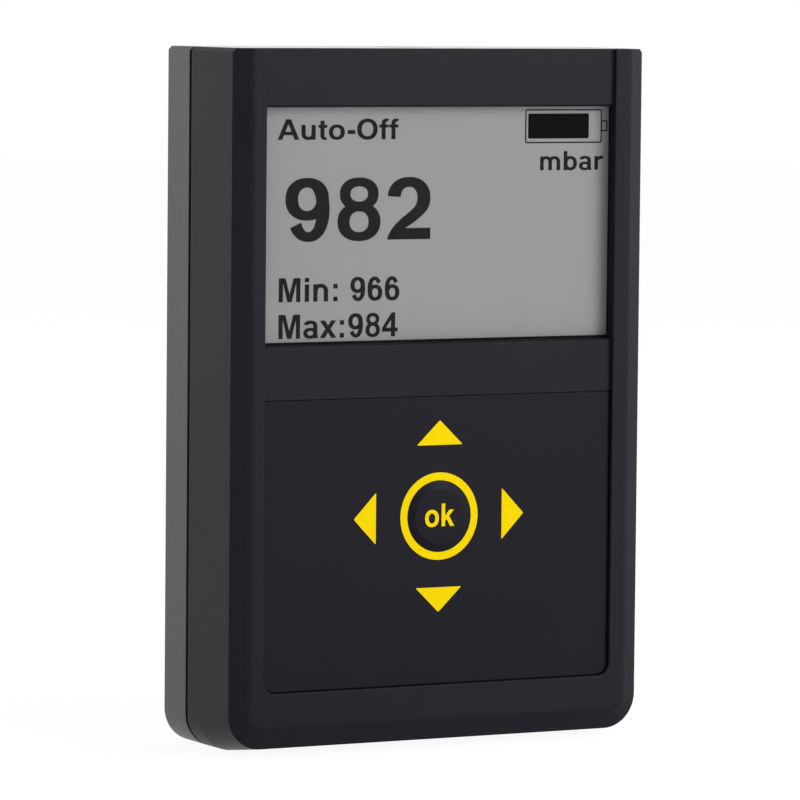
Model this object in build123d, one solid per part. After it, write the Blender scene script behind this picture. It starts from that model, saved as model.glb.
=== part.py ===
from build123d import *
import os

# Portable vacuum gauge: a hand-held case of two moulded shells with a display, a membrane keypad and a
# vacuum port in its top end. Millimetres. X runs to the right seen from the front, Z is up, and Y runs
# from the front (negative) to the back (positive). The origin is the middle of the box that bounds the
# case, at its base. Places along Y are given as a depth behind the front rim.

# Case
case_width = 79.4            # at the parting gap, where the case is widest
case_height = 119.4
front_draft = 0.2           # the front shell narrows by this much on each side, from the gap to the rim
rear_draft = 0.2             # the rear shell narrows by this much on each side, from the gap to the back
corner_radius = 6.0          # the two lower corners
base_rise = 1.4              # the base rises by this much towards the front
base_flat_depth = 11.8       # and is flat behind this depth
top_edge_bevel = 0.6         # the edges between the long sides and the top end
rim_slope_width = 3.2        # the sloped edge round the front face
rim_slope_depth = 1.34
rim_blend_radius = 3.0       # where the slope runs into the flat rim
back_edge_bevel = 0.9
side_wall = 2.2
rear_wall = 2.2
front_shell_depth = 16.9     # from the rim to the middle of the parting gap
parting_gap = 0.9
tongue_width = 1.1           # the rear shell's tongue, which enters the front shell
tongue_length = 1.8
tongue_clearance = 0.12
hook_length = 12.0           # two hooks on the tongue's lower side hold the lower end
hook_height = 0.4
hook_base = 0.9              # the hook's size from front to back
hook_crest = 0.3
hook_x = 20.0
hook_clearance = 0.05

# Front face
rim_width = 6.08             # between the case's widest side and the recess
recess_depth = 0.8
recess_radius = 2.2
recess_edge_bevel = 0.15
lower_rim_width = 9.46       # below the recess
keypad_height = 49.5
middle_bar_height = 9.15
window_height = 40.0
window_bevel = 0.33
window_wall = 1.0            # the wall that stands in front of the pane
front_wall = 3.1

# Keypad
foil_thickness = 0.7
foil_clearance = 0.15
foil_upper_radius = 0.5
key_above_recess = 28.86     # the key's middle, above the recess's lower edge
key_radius = 6.0
key_top_radius = 4.7
key_height = 0.5
tail_width = 12.0
tail_thickness = 0.3
tail_x = 20.0
tail_below_bar = 7.0
tail_slot_clearance = 0.4

# Display
pane_margin = 1.5            # how far the pane runs past the window, to the sides
pane_top_margin = 0.6
pane_clearance = 0.1
pane_thickness = 0.8
gasket_thickness = 0.3
gasket_side_inset = 0.3      # the gasket's opening is wider than the window
gasket_lower_lip = 0.4       # and shows above the window's lower edge
glass_thickness = 1.1
contact_ledge = 3.5          # the strip of the front glass that the rear glass leaves free
ledge_overlap = 0.7
holder_thickness = 1.8
holder_bar = 6.0
holder_side_margin = 0.8
holder_lower_margin = 1.3
holder_peg_radius = 0.9
holder_peg_inset = 2.2
zebra_width = 2.0
zebra_side_inset = 5.0
zebra_clearance = 0.1

# Circuit board
board_thickness = 1.6
board_side_gap = 1.2         # from the side walls
board_lower_gap = 3.3        # from the case's lower wall
board_corner_cut = 3.0
board_hole_clearance = 0.1
board_boss_radius = 2.4
board_boss_x = 31.0
board_boss_below_holder = 0.7
board_below_case_boss = 0.5
board_rib_half = 24.0        # the rib under the board's lower end
board_rib_width = 1.4
board_rib_above_end = 1.5
board_screw_radius = 1.05
board_screw_length = 4.8
board_screw_head_radius = 2.0
board_screw_head_height = 1.4
board_screw_recess_radius = 0.8
chip_size = 10.0
chip_thickness = 1.5
chip_pin_reach = 1.0
chip_pin_width = 0.5
chip_pin_thickness = 0.3
chip_pins_per_side = 4
chip_x = 17.0
chip_z = 78.0
keypad_connector_size = (15.0, 2.5, 5.0)
connector_slot_clearance = 0.1
connector_slot_depth = 1.4

# Battery bay, for two cells of the size AA
cell_radius = 7.25
cell_length = 50.5           # with the positive end
cell_cap_radius = 2.75
cell_cap_height = 1.2
cell_gap = 0.8               # between the two cells
cell_play = 0.2
bay_side_play = 0.3
bay_wall = 1.2
bay_floor = 1.0
bay_board_gap = 0.3
bay_lower_gap = 0.15         # from the front shell's lower wall
contact_thickness = 0.4
contact_width = 11.0
contact_depth = 10.0
contact_dimple_radius = 2.0
contact_dimple_height = 1.0
contact_gap = 0.1
contact_tab_width = 3.0
contact_slot_clearance = 0.1
leaf_width = 6.0
leaf_length = 8.0            # the span of its full arch
leaf_free_end = 0.85         # where along that arch the leaf ends
spring_length = 3.6          # the height that a leaf spring takes up under its cell

# Battery door
door_thickness = 2.1
door_overlap = 1.8           # the door runs past the bay's inside by this much on each side
door_tongue_width = 1.2
door_tongue_thickness = 0.9
door_clearance = 0.1
door_base_gap = 0.3
door_past_bay = 2.5
door_tongue_past = 1.2
rail_floor_thickness = 1.4
rail_floor_margin = 2.2
grip_grooves = 6
grip_pitch = 2.0
grip_width = 1.0
grip_length = 18.0
grip_depth = 0.45
grip_below_top = 5.0

# Case screws
case_screw_x = 32.2
post_radius = 3.3
front_boss_radius = 2.4
case_screw_radius = 1.2
case_screw_length = 11.0
case_screw_head_radius = 2.2
case_screw_head_height = 1.6
screw_play = 0.05
screw_clearance = 0.25
screw_seat_thickness = 2.6   # from the screw head to the joint of the two posts
driver_recess_radius = 1.0
driver_recess_depth = 0.9
post_plate_gap = 0.1

# End plate and vacuum port
plate_thickness = 3.2
plate_clearance = 0.05
plate_groove_height = 1.2
plate_groove_depth = 0.8
port_block_width = 29.0
port_block_depth = 15.0
port_block_height = 18.0
port_block_edge = 0.6
port_board_gap = 0.5
spigot_radius = 7.0
spigot_clearance = 0.03
thread_radius = 4.4          # the wall of the G 1/8 thread, between its crests and roots
thread_length = 12.0
thread_lead_in = 0.7
passage_radius = 1.5
passage_length = 2.4
port_screw_x = 11.0
port_screw_radius = 1.25
port_screw_length = 9.0
port_screw_head_radius = 2.4
port_screw_socket_radius = 1.0
port_screw_socket_depth = 1.0

# Sensor
sensor_radius = 5.5
sensor_height = 3.6
sensor_clearance = 0.05
diaphragm_radius = 3.0
diaphragm_depth = 0.4
seal_section_radius = 0.5
seal_inset = 0.8             # from the capsule's side to the middle of the seal's section
clip_thickness = 0.8
clip_groove_depth = 0.45
clip_inner_radius = 4.5
clip_gap_width = 2.5
flex_width = 6.0
flex_thickness = 0.3
flex_drop = 9.4
flex_bend_radius = 2.0
sensor_connector_size = (9.0, 4.5, 5.0)

same_place = 0.01            # places nearer than this are taken as one

# Depths behind the rim, from the front to the back
pane_front = recess_depth + window_wall
pane_back = pane_front + pane_thickness
glass_front = pane_back + gasket_thickness
glass_step = glass_front + glass_thickness
glass_back = glass_step + glass_thickness
front_wall_back = recess_depth + front_wall
board_front = glass_back + holder_thickness
board_back = board_front + board_thickness
bay_front = board_back + bay_board_gap
bay_inside_front = bay_front + bay_floor
cell_axis_depth = bay_inside_front + cell_play + cell_radius
door_front = cell_axis_depth + cell_radius + cell_play
case_depth = door_front + door_thickness
rear_wall_front = case_depth - rear_wall
front_shell_back = front_shell_depth - parting_gap / 2
rear_shell_front = front_shell_depth + parting_gap / 2

# Heights above the base
base_slope = base_rise / (base_flat_depth - rim_slope_depth)
recess_bottom = base_rise + lower_rim_width
keypad_top = recess_bottom + keypad_height
window_bottom = keypad_top + middle_bar_height
window_top = window_bottom + window_height
pane_bottom = window_bottom - ledge_overlap - contact_ledge
pane_top = window_top + pane_top_margin
rear_glass_bottom = pane_bottom + contact_ledge
holder_bottom = pane_bottom - holder_lower_margin
plate_bottom = case_height - plate_thickness
case_screw_z = plate_bottom - post_plate_gap - post_radius
bay_outside_bottom = side_wall + base_slope * (base_flat_depth - bay_front) + bay_lower_gap
bay_bottom = bay_outside_bottom + bay_wall
bay_length = contact_thickness * 2 + spring_length + cell_length + contact_dimple_height + contact_gap
bay_top = bay_bottom + bay_length
door_top = bay_top + door_past_bay
board_bottom = side_wall + board_lower_gap
board_top = case_screw_z - front_boss_radius - board_below_case_boss
board_screw_z = holder_bottom - board_boss_below_holder - board_boss_radius
sensor_seat_z = case_height - thread_length - passage_length
sensor_top = sensor_seat_z - 2 * seal_section_radius
sensor_bottom = sensor_top - sensor_height

# Half widths
recess_half = case_width / 2 - rim_width
inside_half = case_width / 2 - front_draft - side_wall
pane_half = recess_half + pane_margin
holder_half = pane_half + holder_side_margin
board_half = inside_half - board_side_gap
cell_x = cell_radius + cell_gap / 2
bay_half = cell_x + cell_radius + bay_side_play
door_half = bay_half + door_overlap
door_tongue_half = door_half + door_tongue_width

port_depth = board_back + port_board_gap + port_block_depth / 2
tail_z = keypad_top - tail_below_bar


def behind(depth):
    """The Y of a place that lies this far behind the rim."""
    return depth - case_depth / 2


def front_plane(depth, x=0.0, z=0.0):
    """A plane that faces the front, with its own X to the right and its own Y up."""
    return Plane(origin=(x, behind(depth), z), x_dir=(1, 0, 0), z_dir=(0, -1, 0))


def block(x_low, x_high, z_low, z_high, depth_low, depth_high):
    """A box between two places on each axis."""
    size = (x_high - x_low, depth_high - depth_low, z_high - z_low)
    centre = ((x_low + x_high) / 2, behind((depth_low + depth_high) / 2), (z_low + z_high) / 2)
    return Pos(*centre) * Box(*size)


def wide_block(half, z_low, z_high, depth_low, depth_high):
    """A box as wide to the left as to the right."""
    return block(-half, half, z_low, z_high, depth_low, depth_high)


def rod(x, z, radius, depth_low, depth_high):
    """A round rod that runs from the front to the back."""
    return extrude(front_plane(depth_low, x, z) * Circle(radius), -(depth_high - depth_low))


def upright_rod(x, depth, radius, z_low, z_high):
    """A round rod that stands upright."""
    return extrude(Pos(x, behind(depth), z_low) * Circle(radius), z_high - z_low)


def case_outline(depth, half, z_low, z_high, radius):
    """The case seen from the front: square above, with two round corners below."""
    outline = Pos(0, (z_low + z_high) / 2) * Rectangle(2 * half, z_high - z_low)
    lower_corners = outline.vertices().sort_by(Axis.Y)[:2]
    return front_plane(depth) * fillet(lower_corners, radius)


def case_prism(half, z_low, z_high, radius, depth_low, depth_high):
    """A straight prism with the case's outline."""
    return extrude(case_outline(depth_low, half, z_low, z_high, radius), -(depth_high - depth_low))


def places_on(edge):
    """Three places on an edge: its ends and its middle."""
    return [edge @ share for share in (0, 0.5, 1)]


def edges_at_depth(solid, depth):
    """The edges that lie wholly at one depth."""
    return solid.edges().filter_by(
        lambda edge: all(abs(place.Y - behind(depth)) < same_place for place in places_on(edge)))


def below_top_end(edges):
    """Leaves out the edges that lie in the top end of the case."""
    return edges.filter_by(lambda edge: (edge @ 0.5).Z < case_height - same_place)


def top_side_edges(solid):
    """The two edges between the long sides and the top end."""
    least_x = case_width / 2 - front_draft - rear_draft
    return solid.edges().filter_by(
        lambda edge: all(place.Z > case_height - same_place and abs(place.X) > least_x
                         for place in places_on(edge)))


def mirrored(solid):
    """The solid and its mirror image on the other side of the case."""
    return [solid, mirror(solid, about=Plane.YZ)]


def plate_rib(depth_low, depth_high, wall_depth, inner_depth):
    """The rib on three walls that enters the groove round the end plate."""
    z_low = plate_bottom + (plate_thickness - plate_groove_height) / 2 + plate_clearance
    z_high = z_low + plate_groove_height - 2 * plate_clearance
    reach = plate_groove_depth - plate_clearance
    whole = wide_block(inside_half + side_wall / 2, z_low, z_high, depth_low, depth_high)
    return whole - wide_block(inside_half - reach, z_low, z_high, wall_depth, inner_depth)


def front_shell_body():
    """The front shell's outside: drafted sides and a sloped edge that blends into the flat rim."""
    draft_slope = front_draft / (front_shell_back - rim_slope_depth)
    flat_half = case_width / 2 - draft_slope * (front_shell_back - base_flat_depth)
    crease_half = case_width / 2 - front_draft
    sections = [case_outline(front_shell_back, case_width / 2, 0, case_height, corner_radius),
                case_outline(base_flat_depth, flat_half, 0, case_height, corner_radius),
                case_outline(rim_slope_depth, crease_half, base_rise, case_height, corner_radius),
                case_outline(0, crease_half - rim_slope_width, base_rise + rim_slope_width, case_height,
                             corner_radius - rim_slope_width)]
    body = loft(sections[:2], ruled=True)
    body = body.fuse(loft(sections[1:3], ruled=True), loft(sections[2:], ruled=True))
    body = chamfer(top_side_edges(body), top_edge_bevel)
    return fillet(below_top_end(edges_at_depth(body, 0)), rim_blend_radius)


def front_shell():
    """The front shell, with its recess, window, cavity, bosses and the rib for the end plate."""
    shell = front_shell_body()
    recess = case_prism(recess_half, recess_bottom, case_height + 1, recess_radius, -1, recess_depth)
    shell = shell - recess
    recess_edges = below_top_end(edges_at_depth(shell, 0)).filter_by(
        lambda edge: all(abs(place.X) < recess_half + same_place for place in places_on(edge)))
    shell = chamfer(recess_edges, recess_edge_bevel)
    shell -= case_prism(recess_half, recess_bottom, keypad_top, recess_radius, 0,
                        recess_depth + foil_thickness)
    shell -= window_cut()
    inside_radius = corner_radius - side_wall
    shell -= case_prism(inside_half, side_wall, case_height + 1, inside_radius, front_wall_back,
                        front_shell_back + 1) - sloped_floor()
    pocket = pane_half + pane_clearance
    shell -= wide_block(pocket, pane_bottom - pane_clearance, pane_top + pane_clearance, pane_front,
                        front_wall_back + 1)
    rebate = tongue_width + tongue_clearance
    shell -= case_prism(inside_half + rebate, side_wall - rebate, plate_bottom, inside_radius + rebate,
                        rear_shell_front - tongue_length - parting_gap, front_shell_back + 1)
    shell -= tail_slot()
    shell += plate_rib(front_wall_back - 0.5, front_shell_back, front_wall_back + plate_groove_depth
                       - plate_clearance, front_shell_back + 1)
    shell -= mirrored(hook(hook_clearance))
    shell += mirrored(rod(case_screw_x, case_screw_z, front_boss_radius, front_wall_back - 0.5,
                          front_shell_depth))
    shell += mirrored(rod(board_boss_x, board_screw_z, board_boss_radius, front_wall_back - 0.5,
                          board_front))
    rib_z = board_bottom + board_rib_above_end
    shell += wide_block(board_rib_half, rib_z, rib_z + board_rib_width, front_wall_back - 0.5, board_front)
    pilot_front = front_shell_depth + screw_seat_thickness - case_screw_length - 0.5
    shell -= mirrored(rod(case_screw_x, case_screw_z, case_screw_radius + screw_play, pilot_front,
                          front_shell_depth + 1))
    return shell - mirrored(rod(board_boss_x, board_screw_z, board_screw_radius + screw_play,
                                board_back - board_screw_length - 0.3, board_front + 1))


def sloped_floor():
    """The wedge that keeps the front shell's lower wall as thick where the base rises."""
    profile = Polyline((behind(front_wall_back - 1), side_wall - 1),
                       (behind(base_flat_depth), side_wall - 1),
                       (behind(base_flat_depth), side_wall),
                       (behind(front_wall_back - 1),
                        side_wall + base_slope * (base_flat_depth - front_wall_back + 1)), close=True)
    return extrude(Plane.YZ * make_face(profile), case_width / 2, both=True)


def hook(play=0.0):
    """The right-hand hook on the rear shell's tongue; the play makes it the pocket for the hook."""
    tongue_z = side_wall - tongue_width
    depth_low = rear_shell_front - tongue_length + 0.3
    crest_z = tongue_z - hook_height - play
    profile = Polyline((behind(depth_low - play), tongue_z + 0.2), (behind(depth_low - play), tongue_z),
                       (behind(depth_low + hook_base - hook_crest - play), crest_z),
                       (behind(depth_low + hook_base + play), crest_z),
                       (behind(depth_low + hook_base + play), tongue_z + 0.2), close=True)
    half = hook_length / 2 + play
    return Pos(hook_x, 0, 0) * extrude(Plane.YZ * make_face(profile), half, both=True)


def tail_slot():
    """The slot through the front wall that the keypad's tail passes through."""
    half_width = tail_width / 2 + tail_slot_clearance
    half_height = tail_thickness / 2 + tail_slot_clearance
    return block(tail_x - half_width, tail_x + half_width, tail_z - half_height, tail_z + half_height, 0,
                 front_wall_back + 1)


def window_cut():
    """The display window through the front wall, with a bevel along its upper and lower edge."""
    opening = wide_block(recess_half, window_bottom, window_top, 0, pane_front + 0.5)
    profile = Polyline((behind(recess_depth - 0.5), window_bottom - window_bevel),
                       (behind(recess_depth), window_bottom - window_bevel),
                       (behind(recess_depth + window_bevel), window_bottom),
                       (behind(recess_depth + window_bevel), window_top),
                       (behind(recess_depth), window_top + window_bevel),
                       (behind(recess_depth - 0.5), window_top + window_bevel), close=True)
    bevel = extrude(Plane.YZ * make_face(profile), recess_half, both=True)
    return opening.fuse(bevel)


def rear_shell_body():
    """The rear shell's outside, with drafted sides and a bevelled back edge."""
    gap_face = case_outline(rear_shell_front, case_width / 2, 0, case_height, corner_radius)
    back_face = case_outline(case_depth, case_width / 2 - rear_draft, 0, case_height, corner_radius)
    body = loft([gap_face, back_face], ruled=True)
    body = chamfer(top_side_edges(body), top_edge_bevel)
    return with_plane_base(chamfer(edges_at_depth(body, case_depth), back_edge_bevel))


def with_plane_base(body):
    """The rear shell's outside with a plane let into its base, because a loft's faces are no planes."""
    half = case_width / 2 - corner_radius - 1
    depths = (rear_shell_front + 0.5, case_depth - back_edge_bevel - 0.5)
    return body - wide_block(half, -1, 1, *depths) + wide_block(half, 0, 1, *depths)


def rear_shell():
    """The rear shell, with its tongue, battery bay, door channel and screw posts."""
    inside_radius = corner_radius - side_wall
    shell = rear_shell_body()
    shell -= case_prism(inside_half, side_wall, case_height + 1, inside_radius, rear_shell_front - 1,
                        rear_wall_front)
    tongue = case_prism(inside_half + tongue_width, side_wall - tongue_width,
                        plate_bottom - plate_clearance, inside_radius + tongue_width,
                        rear_shell_front - tongue_length, rear_shell_front + 0.5)
    tongue -= case_prism(inside_half, side_wall, case_height, inside_radius, 0, case_depth)
    shell += tongue
    shell += mirrored(hook())
    shell += plate_rib(rear_shell_front, rear_wall_front + 0.5, rear_shell_front - 1,
                       rear_wall_front - plate_groove_depth + plate_clearance)
    bay_outside = bay_half + bay_wall
    shell += wide_block(bay_outside, bay_outside_bottom, bay_top + bay_wall, bay_front,
                        rear_wall_front + 0.5)
    shell += wide_block(bay_outside, 0.5, bay_bottom, rear_shell_front, rear_wall_front + 0.5)
    rail_half = door_tongue_half + rail_floor_margin
    shell += wide_block(rail_half, 0.5, door_top + door_tongue_past + rail_floor_margin,
                        rear_wall_front - rail_floor_thickness, rear_wall_front + 0.5)
    shell += mirrored(rod(case_screw_x, case_screw_z, post_radius, front_shell_depth,
                          rear_wall_front + 0.5))
    shell -= wide_block(bay_half, bay_bottom, bay_top, bay_inside_front, case_depth + 1)
    shell -= wide_block(door_half + door_clearance, -1, door_top + door_clearance,
                        door_front - door_clearance, case_depth + 1)
    shell -= wide_block(door_tongue_half + door_clearance, -1, door_top + door_tongue_past + door_clearance,
                        door_front - door_clearance, door_front + door_tongue_thickness + door_clearance)
    shell -= mirrored(contact_slot(cell_x))
    shell -= mirrored(rod(case_screw_x, case_screw_z, case_screw_radius + screw_clearance,
                          front_shell_depth - 1, case_depth))
    return shell - mirrored(rod(case_screw_x, case_screw_z, case_screw_head_radius + screw_clearance,
                                front_shell_depth + screw_seat_thickness, case_depth + 1))


def contact_slot(x):
    """The slot in the bay's floor that a contact's tab passes through."""
    half = contact_tab_width / 2 + contact_slot_clearance
    return block(x - half, x + half, bay_top - contact_thickness - contact_slot_clearance,
                 bay_top, bay_front - 1, bay_inside_front + 1)


def battery_door():
    """The battery door: a plate flush with the back, tongues on three sides and a ribbed grip."""
    door = wide_block(door_half, door_base_gap, door_top, door_front, case_depth)
    lower_edge = edges_at_depth(door, case_depth).sort_by(Axis.Z)[:1]
    door = chamfer(lower_edge, back_edge_bevel)
    door += wide_block(door_tongue_half, door_base_gap + back_edge_bevel, door_top + door_tongue_past,
                       door_front, door_front + door_tongue_thickness)
    for index in range(grip_grooves):
        door -= grip_groove(door_top - grip_below_top - index * grip_pitch)
    return door


def grip_groove(z):
    """A groove across the door's back with a square upper wall and a sloped lower one."""
    back = behind(case_depth)
    profile = Polyline((back - grip_depth, z), (back + 0.1, z), (back + 0.1, z - grip_width), close=True)
    return extrude(Plane.YZ * make_face(profile), grip_length / 2, both=True)


def plate_outline(inset):
    """The end plate seen from above, smaller all round by the inset."""
    width = 2 * (inside_half - plate_clearance - inset)
    depth = rear_wall_front - front_wall_back - 2 * (plate_clearance + inset)
    centre = behind((front_wall_back + rear_wall_front) / 2)
    return Pos(0, centre) * Rectangle(width, depth)


def port_screw_shape(x, play=0.0):
    """A countersunk screw, from the plate's face down; the play makes it the hole for the screw."""
    head_radius = port_screw_head_radius + play
    shank_radius = port_screw_radius + play
    cone_height = port_screw_head_radius - port_screw_radius
    centre = Pos(x, behind(port_depth), case_height - cone_height / 2)
    head = centre * Cone(shank_radius, head_radius, cone_height)
    shank_bottom = case_height - port_screw_length - 4 * play
    shank = upright_rod(x, port_depth, shank_radius, shank_bottom, case_height - cone_height)
    return head.fuse(shank)


def end_plate():
    """The plate that closes the top end, with a groove round its edge and the holes for the port."""
    wide = plate_outline(0)
    narrow = plate_outline(plate_groove_depth)
    lip = (plate_thickness - plate_groove_height) / 2
    plate = extrude(Pos(0, 0, plate_bottom) * wide, lip)
    plate += extrude(Pos(0, 0, plate_bottom + lip) * narrow, plate_groove_height)
    plate += extrude(Pos(0, 0, case_height - lip) * wide, lip)
    plate -= upright_rod(0, port_depth, spigot_radius + spigot_clearance, plate_bottom - 1, case_height + 1)
    for x in (-port_screw_x, port_screw_x):
        plate -= port_screw_shape(x, screw_play)
    return plate


def sensor_port():
    """The stainless block under the end plate, with the threaded port above and the sensor's seat below."""
    block_bottom = plate_bottom - port_block_height
    half = port_block_width / 2
    depth_low = port_depth - port_block_depth / 2
    port = block(-half, half, block_bottom, plate_bottom, depth_low, depth_low + port_block_depth)
    port = chamfer(port.edges().filter_by(Axis.Z), port_block_edge)
    port += upright_rod(0, port_depth, spigot_radius, plate_bottom - 1, case_height)
    thread_bottom = case_height - thread_length
    port -= upright_rod(0, port_depth, thread_radius, thread_bottom, case_height + 1)
    lead_in = Pos(0, behind(port_depth), case_height - thread_lead_in / 2)
    port -= lead_in * Cone(thread_radius, thread_radius + thread_lead_in, thread_lead_in)
    port -= upright_rod(0, port_depth, passage_radius, sensor_seat_z - 1, thread_bottom + 1)
    port -= upright_rod(0, port_depth, sensor_radius + sensor_clearance, block_bottom - 1, sensor_seat_z)
    port -= upright_rod(0, port_depth, sensor_radius + sensor_clearance + clip_groove_depth,
                        sensor_bottom - clip_thickness - sensor_clearance, sensor_bottom)
    for x in (-port_screw_x, port_screw_x):
        port -= port_screw_shape(x, screw_play)
    return port


def sensor_cell():
    """The sensor capsule: a turned can with its diaphragm in a shallow recess above."""
    can = upright_rod(0, port_depth, sensor_radius, sensor_bottom, sensor_top)
    return can - upright_rod(0, port_depth, diaphragm_radius, sensor_top - diaphragm_depth, sensor_top + 1)


def sensor_seal():
    """The O-ring between the capsule and the shoulder of its seat, pressed flat above and below."""
    hexagon = RegularPolygon(seal_section_radius, 6, major_radius=False)
    section = Pos(sensor_radius - seal_inset, 0) * hexagon
    middle = (sensor_top + sensor_seat_z) / 2
    return Pos(0, behind(port_depth), middle) * revolve(Plane.XZ * section, Axis.Z)


def sensor_clip():
    """The open retaining ring under the capsule."""
    top = sensor_bottom - sensor_clearance / 2
    outer_radius = sensor_radius + clip_groove_depth
    ring = upright_rod(0, port_depth, outer_radius, top - clip_thickness + sensor_clearance / 2, top)
    ring -= upright_rod(0, port_depth, clip_inner_radius, top - 2 * clip_thickness, top + 1)
    gap = block(-clip_gap_width / 2, clip_gap_width / 2, top - 2 * clip_thickness, top + 1, port_depth,
                port_depth + 2 * outer_radius)
    return ring - gap


def sensor_flex():
    """The flexible conductor: down from the capsule, round a bend and forward into its socket."""
    bend_top = sensor_bottom - flex_drop
    bend_bottom = bend_top - flex_bend_radius
    start = (behind(port_depth), sensor_bottom)
    bend_start = (behind(port_depth), bend_top)
    bend_end = (behind(port_depth - flex_bend_radius), bend_bottom)
    end = (behind(board_back + sensor_connector_size[1] - connector_slot_depth + 0.1), bend_bottom)
    path = Line(start, bend_start)
    path += TangentArc(bend_start, bend_end, tangent=(0, -1))
    path += Line(bend_end, end)
    strip = trace(path, flex_thickness)
    return extrude(Plane.YZ * strip, flex_width / 2, both=True)


def sensor_connector():
    """The socket on the back of the board that takes the sensor's conductor."""
    width, depth, height = sensor_connector_size
    z = sensor_bottom - flex_drop - flex_bend_radius
    body = wide_block(width / 2, z - height / 2, z + height / 2, board_back, board_back + depth)
    slot_half = flex_thickness / 2 + connector_slot_clearance
    body -= wide_block(flex_width / 2 + connector_slot_clearance, z - slot_half, z + slot_half,
                       board_back + depth - connector_slot_depth, board_back + depth + 1)
    latch = wide_block(width / 2 + 0.6, z + slot_half + 0.4, z + height / 2 - 0.5, board_back + depth - 1.2,
                       board_back + depth + 0.5)
    return body + latch


def keypad_foil():
    """The membrane keypad: one laminate with a raised round key and its tail."""
    half = recess_half - foil_clearance
    foil_back = recess_depth + foil_thickness
    height = keypad_height - 2 * foil_clearance
    outline = Pos(0, (recess_bottom + keypad_top) / 2) * Rectangle(2 * half, height)
    corners = outline.vertices().sort_by(Axis.Y)
    outline = fillet(corners[:2], recess_radius - foil_clearance)
    outline = fillet(outline.vertices().sort_by(Axis.Y)[-2:], foil_upper_radius)
    foil = extrude(front_plane(recess_depth) * outline, -foil_thickness)
    foil += raised_key()
    tail_back = board_front - keypad_connector_size[1] + connector_slot_depth - 0.1
    foil += block(tail_x - tail_width / 2, tail_x + tail_width / 2, tail_z - tail_thickness / 2,
                  tail_z + tail_thickness / 2, foil_back - 0.1, tail_back)
    return foil


def raised_key():
    """The raised key: a low cone with a flat top."""
    z = recess_bottom + key_above_recess
    key = extrude(front_plane(recess_depth + 0.2, 0, z) * Circle(key_radius), 0.2)
    cone = Cone(key_radius, key_top_radius, key_height)
    return key.fuse(Pos(0, behind(recess_depth - key_height / 2), z) * (Rot(90, 0, 0) * cone))


def keypad_connector():
    """The socket on the front of the board that takes the keypad's tail."""
    width, depth, height = keypad_connector_size
    front = board_front - depth
    body = block(tail_x - width / 2, tail_x + width / 2, tail_z - height / 2, tail_z + height / 2, front,
                 board_front)
    half_width = tail_width / 2 + connector_slot_clearance
    half_height = tail_thickness / 2 + connector_slot_clearance
    return body - block(tail_x - half_width, tail_x + half_width, tail_z - half_height,
                        tail_z + half_height, front - 1, front + connector_slot_depth)


def display_window():
    """The clear pane behind the window's edges."""
    return wide_block(pane_half, pane_bottom, pane_top, pane_front, pane_back)


def display_gasket():
    """The black foam frame between the pane and the display."""
    frame = wide_block(pane_half, pane_bottom, pane_top, pane_back, glass_front)
    return frame - wide_block(recess_half + gasket_side_inset, window_bottom + gasket_lower_lip,
                              window_top + gasket_side_inset, pane_back - 1, glass_front + 1)


def lcd_panel():
    """The display: two glasses, of which the front one leaves its contact ledge free below."""
    front_glass = wide_block(pane_half, pane_bottom, pane_top, glass_front, glass_step)
    rear_glass = wide_block(pane_half, rear_glass_bottom, pane_top, glass_step, glass_back)
    return front_glass + rear_glass


def holder_peg_places():
    """Where the holder's two pegs pass through the board: one high on the left, one low on the right."""
    x = holder_half - holder_peg_inset
    return [(-x, pane_top - holder_bar), (x, holder_bottom + holder_bar)]


def display_holder():
    """The frame behind the display, with a slot for the contact strip and pegs into the board."""
    frame = wide_block(holder_half, holder_bottom, pane_top, glass_back, board_front)
    frame -= wide_block(holder_half - holder_bar, rear_glass_bottom + holder_bar, pane_top - holder_bar,
                        glass_back - 1, board_front + 1)
    zebra_half = pane_half - zebra_side_inset + zebra_clearance
    z_low, z_high = zebra_span()
    frame -= wide_block(zebra_half, z_low - zebra_clearance, z_high + zebra_clearance, glass_back - 1,
                        board_front + 1)
    for x, z in holder_peg_places():
        frame += rod(x, z, holder_peg_radius, board_front - 0.5, board_back)
    return frame


def zebra_span():
    """The contact strip's lower and upper height, in the middle of the contact ledge."""
    middle = pane_bottom + contact_ledge / 2
    return middle - zebra_width / 2, middle + zebra_width / 2


def zebra_strip():
    """The elastomer strip that joins the display's ledge to the board."""
    z_low, z_high = zebra_span()
    return wide_block(pane_half - zebra_side_inset, z_low, z_high, glass_step, board_front)


def main_board():
    """The circuit board, with its lower corners cut off to follow the case."""
    board = wide_block(board_half, board_bottom, board_top, board_front, board_back)
    lower_corners = board.edges().filter_by(Axis.Y).sort_by(Axis.Z)[:2]
    board = chamfer(lower_corners, board_corner_cut)
    board -= mirrored(rod(board_boss_x, board_screw_z, board_screw_radius + screw_clearance,
                          board_front - 1, board_back + 1))
    for x, z in holder_peg_places():
        board -= rod(x, z, holder_peg_radius + board_hole_clearance, board_front - 1, board_back + 1)
    return board


def microcontroller():
    """The processor: a square package with bent pins on its four sides."""
    half = chip_size / 2
    body_front = board_back + chip_pin_thickness
    body = block(chip_x - half, chip_x + half, chip_z - half, chip_z + half, body_front,
                 board_back + chip_thickness)
    body = chamfer(edges_at_depth(body, board_back + chip_thickness), 0.25)
    pitch = chip_size / (chip_pins_per_side + 1)
    reach = half + chip_pin_reach
    for index in range(chip_pins_per_side):
        offset = -half + (index + 1) * pitch
        low, high = offset - chip_pin_width / 2, offset + chip_pin_width / 2
        body += block(chip_x - reach, chip_x + reach, chip_z + low, chip_z + high, board_back, body_front)
        body += block(chip_x + low, chip_x + high, chip_z - reach, chip_z + reach, board_back, body_front)
    return body


def cell_spans():
    """The lower and upper end of the two cells: the left one stands cap up, the right one cap down."""
    left_low = bay_bottom + contact_thickness + spring_length
    right_low = bay_bottom + contact_thickness + contact_dimple_height + contact_gap
    return (left_low, left_low + cell_length), (right_low, right_low + cell_length)


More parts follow.
